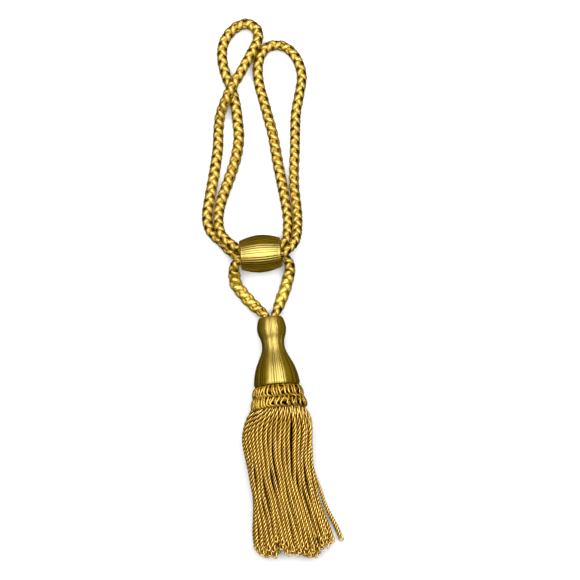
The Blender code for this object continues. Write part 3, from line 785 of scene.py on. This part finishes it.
def wound_skin(pile, profile, start, axis, across, over, threads, rng):
    """A turned skin of threads laid lengthwise, some of them parted into grooves darkened with painted
    shade.

    The profile's rows are along, radius and share of the relief.
    """
    columns = threads * THREAD_STEPS
    column = np.arange(columns)
    within = (column % THREAD_STEPS) / THREAD_STEPS
    crown = np.sqrt(np.abs(np.sin(within * math.pi)))

    def across_threads(values):
        return np.repeat(values, THREAD_STEPS)

    grooved = (rng.random(threads) < GROOVE_SHARE) & (np.arange(threads) % 2 == 0)
    groove = grooved * rng.uniform(GROOVE_LEAST, 1.0, threads)
    height = 1 - THREAD_UNEVENNESS / 2 + THREAD_UNEVENNESS * rng.random(threads)
    crest = across_threads(THREAD_RELIEF * height) * crown
    notch = GROOVE_DEPTH * (1 - np.abs(2 * within - 1)) * across_threads(groove)
    relief = np.where(across_threads(grooved), -notch, crest)
    shift = (rng.random(threads) - 0.5) * THREAD_WAVER
    angle = TURN * (column + across_threads(shift) * np.sin(within * math.pi)) / columns
    slope = np.gradient(profile[:, :2], axis=0)
    slope = slope / np.linalg.norm(slope, axis=1, keepdims=True)
    normal = np.stack([-slope[:, 1], slope[:, 0]], axis=1)
    lift = profile[:, 2:3] * relief[None, :]
    places = profile[:, 0:1] + normal[:, 0:1] * lift
    radii = profile[:, 1:2] + normal[:, 1:2] * lift
    outward = across[None, :] * np.cos(angle)[:, None] + over[None, :] * np.sin(angle)[:, None]
    rings = start + axis * places[:, :, None] + outward[None, :, :] * radii[:, :, None]
    distance = lengths_along(np.hstack([profile[:, :2], np.zeros((len(profile), 1))]))
    u = np.arange(columns + 1) / columns
    uvs = np.stack(np.broadcast_arrays(u[None, :], distance[:, None]), axis=2)
    # The grooved threads get the lowest tone and painted shade; the others a random tone
    tone = np.where(grooved, 0.0, THREAD_TONE + THREAD_TONE_SPREAD * rng.random(threads))
    tones = np.broadcast_to(across_threads(tone)[None, :], (len(profile), columns))
    painted_shades = np.broadcast_to(across_threads(GROOVE_SHADE * groove)[None, :], (len(profile), columns))
    add_grid(pile, rings[:, ::-1], uvs[:, ::-1], tones[:, ::-1], painted_shades[:, ::-1])


def make_bead():
    middle, axis, across = bead_frame()
    half = np.linalg.norm(BEAD_RIGHT - BEAD_LEFT) / 2
    bulge = BEAD_MIDDLE_RADIUS - BEAD_END_RADIUS
    rows = []
    for share in np.linspace(-1.0, 1.0, BARREL_ROWS):
        rows.append((share * (half - BEAD_RIM), BEAD_MIDDLE_RADIUS - bulge * share * share))
    for angle in np.linspace(0.0, math.pi / 2, RIM_ROWS)[1:]:
        along = half - BEAD_RIM + BEAD_RIM * math.sin(angle)
        rows.append((along, BEAD_END_RADIUS - BEAD_RIM * (1 - math.cos(angle))))
    rows.append((half - MOUTH_INSET, BORE_MOUTH_RADIUS - MOUTH_LIP))
    rows.append((half - BORE_FLARE / 2, (BORE_MOUTH_RADIUS + BORE_RADIUS) / 2))
    rows.append((half - BORE_FLARE, BORE_RADIUS))
    rows.append((0.0, BORE_RADIUS))
    left = [(-along, radius) for along, radius in rows[BARREL_ROWS:]][::-1]
    profile = np.array(left + rows)
    relief = np.ones((len(profile), 1))
    pile = new_pile()
    rng = np.random.default_rng(BEAD_SEED)
    over = np.cross(axis, across)
    wound_skin(pile, np.hstack([profile, relief]), middle, axis, across, over, BEAD_THREADS, rng)
    material = satin("bead_satin", **WOUND_SATIN)
    bead = make_piece(pile, "bead_wound", material)
    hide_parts("bead")


def make_head():
    axis, across, over = head_frame()
    outline = smooth_curve([(along, radius, 0.0) for along, radius in HEAD_PROFILE], samples=5)[:, :2]
    inside = [(along, POCKET_RADIUS + more) for along, more in POCKET_PROFILE]
    foot = HEAD_PROFILE[-1][0]
    base = [(foot, FOOT_RADIUS), (foot, AXIS_RADIUS)]
    profile = np.array([(POCKET_DEPTH, AXIS_RADIUS)] + inside + outline.tolist() + base)
    relief = np.ones((len(profile), 1))
    relief[0] = 0.0
    relief[-2:] = 0.0
    pile = new_pile()
    rng = np.random.default_rng(HEAD_SEED)
    wound_skin(pile, np.hstack([profile, relief]), HEAD_TOP, axis, across, over, HEAD_THREADS, rng)
    material = satin("head_satin", **WOUND_SATIN)
    head = make_piece(pile, "head_wound", material)
    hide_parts("head")


# ---- twisted cords

def crown_shade(sides, slope, start):
    """Painted shade on each side of a tube: none along its crown, more towards its neighbours."""
    inwards = -np.sin(np.arange(sides) * TURN / sides)
    return np.clip(slope * (inwards - start), 0.0, 1.0)


def add_ply(pile, path, middle, thick, sides, tone, shade, opening):
    """One ply of a strand, with painted shade where it meets the others, but not in the open loop."""
    crown = crown_shade(sides, PLY_SHADE, PLY_SHADE_START)
    painted_shade = np.clip(crown[None, :] * (1 - opening)[:, None] + shade[:, None], 0.0, 1.0)
    add_tube(pile, path, path - middle, thick, thick, sides, tone, painted_shade)


def twisted_strand(pile, line, sides, lay, end_turn, tone, shade):
    """Three plies twisted along a line. Two are one yarn that turns back at its end in an open loop."""
    centre, scale = line[:, :3], line[:, 3]
    first, second = carried_frame(centre, UP)
    distance = lengths_along(centre)
    left = distance[-1] - distance
    opening = smooth_step(LOOP_LENGTH - left, 0.0, LOOP_LENGTH)
    thick = STRAND_WIDTH * PLY_THICKNESS * scale * (1 - LOOP_THINNING * opening)
    ring = STRAND_WIDTH * PLY_RING * scale * (1 + LOOP_OPENING * opening)
    slack = 1 + TOP_SLACK * smooth_step(line[:, 1], *TOP_LEVELS)
    rate = TURN / (lay * slack) * np.clip(left / LOOP_LENGTH, 0.0, 1.0)
    turns = 0.5 * (rate[1:] + rate[:-1]) * np.diff(distance)
    turn = end_turn - np.concatenate([np.cumsum(turns[::-1])[::-1], [0.0]])
    spread = math.pi / 3 + math.pi / 6 * opening  # half the angle between those two, up to opposite

    def arm(angle):
        return first * np.cos(angle)[:, None] + second * np.sin(angle)[:, None]

    down = centre + arm(turn + spread) * ring[:, None]
    back = centre + arm(turn - spread) * ring[:, None]
    tip_along = tangents(centre)[-1]
    tip_side = arm(turn + spread)[-1]
    bend = [
        centre[-1] + ring[-1] * (tip_side * math.cos(a) + tip_along * math.sin(a))
        for a in np.linspace(0.0, math.pi, LOOP_STEPS)[1:-1]
    ]

    def there_and_back(values):
        return np.concatenate([values, np.repeat(values[-1:], len(bend), axis=0), values[::-1]])

    path = np.vstack([down, bend, back[::-1]])
    middle, thicks, shades, openings = map(there_and_back, (centre, thick, shade, opening))
    add_ply(pile, path, middle, thicks, sides, tone, shades, openings)
    whole = left > LOOP_LENGTH / 2  # the third ply ends halfway along the loop
    third = (centre + arm(turn + math.pi) * ring[:, None])[whole]
    add_ply(pile, third, centre[whole], thick[whole], sides, tone, shade[whole], opening[whole])


# ---- the ruff

def coil_round(pile, rng, row, start, sink, gimp_radius, tone, shade):
    """A gimp cord coiled around a ring, its loops bowed, bent and uneven."""
    along, ring_radius, half_depth, half_length, loops = row
    axis, across, over = head_frame()
    t = np.arange(loops * COIL_STEPS) / (loops * COIL_STEPS)
    coil = TURN * loops * t
    marks = np.arange(loops + 1)

    def uneven(spread):
        values = rng.normal(0.0, spread, loops + 1)
        values[-1] = values[0]
        return np.interp(t * loops, marks, values)

    out, down = np.sin(coil), np.cos(coil)
    bow = LOOP_BOW + uneven(LOOP_BOW_SPREAD)
    bend = LOOP_BEND + uneven(LOOP_BEND_SPREAD)
    sideways = bow * out + bend * out * down + uneven(LOOP_SHIFT_SPREAD)
    spin = TURN * (t + (start + sideways) / loops)
    spin = spin + LOOP_CROWDING * np.sin(2 * (spin - SPARSE_PLACE))
    outward = across * np.cos(spin)[:, None] - over * np.sin(spin)[:, None]
    flat = np.sign(out) * np.abs(out) ** COIL_FLATNESS
    place = (half_length + uneven(COIL_UNEVENNESS)) * down
    depth = (half_depth + uneven(COIL_UNEVENNESS)) * flat
    radius = ring_radius + RUFF_SLOPE * place + depth - sink * (out > 0)
    centre = HEAD_TOP + axis * (along + place)[:, None] + outward * radius[:, None]
    lifted = outward * out[:, None] + axis * down[:, None]
    # Painted shade from the gimp's crown inwards, and over all of a sunk coil
    painted_shade = np.clip(crown_shade(GIMP_SIDES, GIMP_SHADE, GIMP_SHADE_START) + shade, 0.0, 1.0)
    add_tube(pile, centre, lifted, gimp_radius, gimp_radius, GIMP_SIDES, tone, painted_shade, closed=True)


def ruff_core(pile, row):
    """The core inside a row's loops, painted dark as the shade between them."""
    along, ring_radius, half_depth, half_length, _ = row
    axis, across, over = head_frame()
    spin = np.arange(CORE_STEPS) * TURN / CORE_STEPS
    outward = across * np.cos(spin)[:, None] - over * np.sin(spin)[:, None]
    centre = HEAD_TOP + axis * along + outward * ring_radius
    add_tube(
        pile,
        centre,
        outward + axis * RUFF_SLOPE,
        half_length * CORE_LENGTH,
        half_depth * CORE_DEPTH,
        CORE_SIDES,
        tone=0.1,
        painted_shade=1.0,
        closed=True,
    )


def make_ruff():
    rng = np.random.default_rng(RUFF_SEED)
    pile = new_pile()
    for row in RUFF_ROWS:
        ruff_core(pile, row)
        for coil in RUFF_COILS:
            coil_round(pile, rng, row, *coil)
    material = satin("ruff_satin", **RUFF_SATIN)
    ruff = make_piece(pile, "ruff_gimp", material)
    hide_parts("ruff")


# ---- the fringe

def around_pile(half_width, half_height, share):
    """A point of a flat-topped oval, at a share of the way round from the right."""
    straight = max(0.0, half_width - half_height)
    arc = math.pi * half_height
    distance = (share % 1.0) * (4 * straight + 2 * arc)
    if distance < arc / 2:
        angle, middle = distance / half_height, straight
    elif distance < arc / 2 + 2 * straight:
        angle, middle = math.pi / 2, straight - (distance - arc / 2)
    elif distance < 3 * arc / 2 + 2 * straight:
        angle, middle = (distance - 2 * straight) / half_height, -straight
    elif distance < 3 * arc / 2 + 4 * straight:
        angle, middle = 3 * math.pi / 2, (distance - 3 * arc / 2 - 2 * straight) - straight
    else:
        angle, middle = (distance - 4 * straight) / half_height, straight
    return middle + half_height * math.cos(angle), half_height * math.sin(angle)


def strand_target(level, ring, share):
    """x, z and width of a strand at one level down the fringe."""
    middle_x, half_width, low, high = (float(v) for v in table_at(FRINGE_SECTIONS, level))
    half_height = (high - low) / 2
    middle_z = (high + low) / 2
    if ring == len(FRINGE_RING_STRANDS):
        reach = half_width - STRAND_WIDTH / 2 - ring * FRINGE_RING_STEP
        width = min(STRAND_WIDTH, CORE_FILL * 2 * reach / FRINGE_CORE_STRANDS)
        return middle_x + (2 * share - 1) * reach, middle_z, width
    width = STRAND_WIDTH
    for _ in range(4):  # the width and the inset hang on each other
        inset = width / 2 + ring * FRINGE_RING_STEP
        a, b = half_width - inset, half_height - inset
        room = (4 * max(0.0, a - b) + TURN * b) / FRINGE_RING_STRANDS[ring]
        width = min(STRAND_WIDTH, STRAND_FILL[ring] * room)
    inset = width / 2 + ring * FRINGE_RING_STEP
    x, z = around_pile(half_width - inset, half_height - inset, share)
    return middle_x + x, middle_z + z, width


def fringe_strands(rng):
    """Ring, number in it and share of the way round it, for each strand."""
    strands = []
    for ring, count in enumerate((*FRINGE_RING_STRANDS, FRINGE_CORE_STRANDS)):
        for index in range(count):
            share = (index + 0.5) / count if ring else index / count
            if ring == 0 and index:
                share += SPACING_UNEVENNESS * rng.uniform(-1.0, 1.0) / count
            strands.append((ring, index, share))
    return strands


def wander_and_stray(levels, x, z, width, rng):
    """Moves the strands off their even places, and lets the first one stray."""
    growth = np.clip((WANDER_START - levels) / WANDER_GROWTH, 0.0, 1.0)
    phases = rng.random((len(x), len(WANDER_WAVES))) * TURN
    for number in range(len(x)):
        wave = np.zeros(len(levels))
        for (length, share), phase in zip(WANDER_WAVES, phases[number]):
            wave = wave + share * np.sin(levels / length + phase)
        x[number] = x[number] + WANDER * growth * wave
    x[0] = x[0] + table_at(STRAY_SPREAD, levels)[0]
    fall = np.clip((STRAY_FALL_START - levels) / STRAY_FALL_LENGTH, 0.0, 1.0)
    width[0] = width[0] * (1 + STRAY_THICKENING * fall)
    z[0] = z[0] + (width[0] / 2 - z[0]) * fall


def strand_ends(strands, x, z, rng):
    """The y at which each strand ends: unevenly, and the upper ones a little sooner."""
    ends = np.empty(len(strands))
    for number, (ring, index, _) in enumerate(strands):
        ends[number] = table_at(FRINGE_ENDS, x[number, -1])[0] + END_UNEVENNESS * rng.random()
        if ring == 0 and index:
            height = z[number, -1] / FRINGE_SECTIONS[-1][4]
            ends[number] += TOP_END_RISE * rng.random() * height * height
    return ends


def pressed_apart(x, z, radius, alive):
    """The strands' x and z once neighbours are pressed apart and none is below the floor."""
    home_x, home_z = x.copy(), z.copy()
    own = np.arange(len(x))
    for _ in range(PRESS_ROUNDS):
        dx = x[:, None, :] - x[None, :, :]
        dz = z[:, None, :] - z[None, :, :]
        apart = np.sqrt(dx * dx + dz * dz) + 1e-9
        wanted = PRESS_DISTANCE * (radius[:, None, :] + radius[None, :, :])
        both = alive[:, None, :] & alive[None, :, :]
        push = np.where(both & (apart < wanted), 0.5 * (wanted - apart) / apart, 0.0)
        push[own, own] = 0.0
        x = x + PRESS_RATE * (dx * push).sum(axis=1) + HOME_PULL * (home_x - x)
        z = z + PRESS_RATE * (dz * push).sum(axis=1) + HOME_PULL * (home_z - z)
        for line in (x, z):
            beside = line[:, :-2] + line[:, 2:]
            line[:, 1:-1] = (1 - 2 * LINE_SMOOTHING) * line[:, 1:-1] + LINE_SMOOTHING * beside
        z = np.maximum(z, radius)
    return x, z


def fringe_lines():
    """Each strand's ring and middle line: x, y, z and width, as a share of the full one."""
    rng = np.random.default_rng(FRINGE_SEED)
    levels = np.arange(FRINGE_TOP, FRINGE_FOOT, -LEVEL_STEP)
    strands = fringe_strands(rng)
    target = np.array(
        [[strand_target(level, ring, share) for level in levels] for ring, _, share in strands]
    )
    x, z, width = target[:, :, 0], target[:, :, 1], target[:, :, 2]
    wander_and_stray(levels, x, z, width, rng)
    ends = strand_ends(strands, x, z, rng)
    alive = levels[None, :] > (ends[:, None] - LEVEL_STEP)
    x, z = pressed_apart(x, z, width / 2, alive)
    fan_out(strands, levels, x, z, width)
    lines = []
    axis, _, _ = head_frame()
    face = HEAD_TOP + axis * FRINGE_START
    for number, (ring, _, _) in enumerate(strands):
        y = levels.copy()
        slope = (x[number, 0] - face[0]) * axis[0] + (z[number, 0] - face[2]) * axis[2]
        y[0] = face[1] - slope / axis[1]
        keep = levels > ends[number]
        line = np.stack([x[number], y, z[number], width[number] / STRAND_WIDTH], axis=1)[keep]
        last = line[-1] + (line[-1] - line[-2]) * (line[-1, 1] - ends[number]) / LEVEL_STEP
        last[3] = line[-1, 3]
        last[2] = max(last[2], STRAND_WIDTH / 2)
        lines.append((ring, np.vstack([line, last])))
    return lines


def fan_out(strands, levels, x, z, width):
    """Gathers the upper outer strands towards the ruff's middle, every other one over its neighbours."""
    gather = smooth_step(levels, *FAN_LEVELS)
    middle_x, half_width, low, high = table_at(FRINGE_SECTIONS, levels)
    for number, (ring, index, share) in enumerate(strands):
        if ring or not FAN_SHARES[0] < share < FAN_SHARES[1]:
            continue
        start = FAN_LEFT if share > FAN_MIDDLE else FAN_RIGHT
        moved = FAN_X + (x[number] - FAN_X) * (1 - gather * (1 - start))
        part = np.clip((moved - middle_x) / half_width, -FAN_EDGE, FAN_EDGE)
        surface = (low + high) / 2 + (high - low) / 2 * np.sqrt(1 - part * part) - width[number] / 2
        lift = width[number] * FAN_LIFT * (index % 2)
        x[number] = moved
        z[number] = z[number] + gather * (surface + lift - z[number])


def make_fringe():
    rng = np.random.default_rng(STRAND_SEED)
    material = satin("fringe_satin", **FRINGE_SATIN)
    piles = {name: new_pile() for name in RING_PIECES}
    for ring, line in fringe_lines():
        line = resampled(smooth_curve(line, samples=4), STRAND_STEP)
        tone = float(np.clip(rng.normal(STRAND_TONE, STRAND_TONE_SPREAD), 0.0, 1.0))
        lay = STRAND_LAY * rng.normal(1.0, LAY_SPREAD)
        end_turn = rng.normal(0.0, END_TURN_SPREAD)
        # Painted shade on the inner strands near the top, where the outer ones cover them
        shade = RING_SHADES[ring] * smooth_step(line[:, 1], *SHADE_LEVELS)
        pile = piles[RING_PIECES[ring]]
        twisted_strand(pile, line, PLY_SIDES[ring], lay, end_turn, tone, shade)
    for name, pile in piles.items():
        piece = make_piece(pile, name, material)
        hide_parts("fringe")


# ---- the setting

CAMERA_PLACE = (-0.0006, 0.1050, 2.60)
SENSOR_WIDTH = 36.0
VIEW_SPAN = 0.580  # that the picture shows, at this height
VIEW_PLANE = 0.012
FAR_END = 20.0
WORLD_STRENGTH = 0.03
FLOOR_REACH = 4.0
FLOOR_LEVEL = -0.0004
FLOOR_COLOUR = (0.80, 0.80, 0.80, 1.0)
FLOOR_ROUGHNESS = 0.9
KEY_PLACE = (0.0, 0.75, 1.65)
KEY_AIM = (0.0, 0.75, 0.0)
KEY_SIZE = (3.0, 2.5)
KEY_POWER = 115.0


def make_camera():
    data = bpy.data.cameras.new("camera")
    data.sensor_width = SENSOR_WIDTH
    data.lens = data.sensor_width * (CAMERA_PLACE[2] - VIEW_PLANE) / VIEW_SPAN
    data.clip_end = FAR_END
    camera = bpy.data.objects.new("camera", data)
    camera.location = CAMERA_PLACE
    bpy.context.scene.collection.objects.link(camera)
    bpy.context.scene.camera = camera


def area_light(name, place, aim, size, power):
    data = bpy.data.lights.new(name, "AREA")
    data.shape = "RECTANGLE"
    data.size, data.size_y = size
    data.energy = power
    light = bpy.data.objects.new(name, data)
    place, aim = np.array(place), np.array(aim)
    light.location = place
    light.rotation_euler = Vector(aim - place).to_track_quat("-Z", "Y").to_euler()
    bpy.context.scene.collection.objects.link(light)


def make_floor():
    mesh = bpy.data.meshes.new("floor")
    ways = ((-1, -1), (1, -1), (1, 1), (-1, 1))
    mesh.from_pydata([(a * FLOOR_REACH, b * FLOOR_REACH, 0.0) for a, b in ways], [], [(0, 1, 2, 3)])
    floor = bpy.data.objects.new("floor", mesh)
    floor.location.z = FLOOR_LEVEL
    bpy.context.scene.collection.objects.link(floor)
    paper = bpy.data.materials.new("floor_paper")
    paper.use_nodes = True
    shader = paper.node_tree.nodes["Principled BSDF"]
    shader.inputs["Base Color"].default_value = FLOOR_COLOUR
    shader.inputs["Roughness"].default_value = FLOOR_ROUGHNESS
    mesh.materials.append(paper)
    floor.visible_diffuse = False
    floor.visible_glossy = False


def make_setting():
    scene = bpy.context.scene
    scene.view_settings.view_transform = "Standard"
    scene.view_settings.look = "None"
    world = bpy.data.worlds.new("world")
    world.use_nodes = True
    sky = world.node_tree.nodes["Background"]
    sky.inputs["Color"].default_value = (1.0, 1.0, 1.0, 1.0)
    sky.inputs["Strength"].default_value = WORLD_STRENGTH
    scene.world = world
    make_floor()
    area_light("key", KEY_PLACE, KEY_AIM, KEY_SIZE, KEY_POWER)


def main():
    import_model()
    make_camera()
    make_cord()
    make_bead()
    make_head()
    make_ruff()
    make_fringe()
    make_setting()
    bpy.context.view_layer.update()


main()
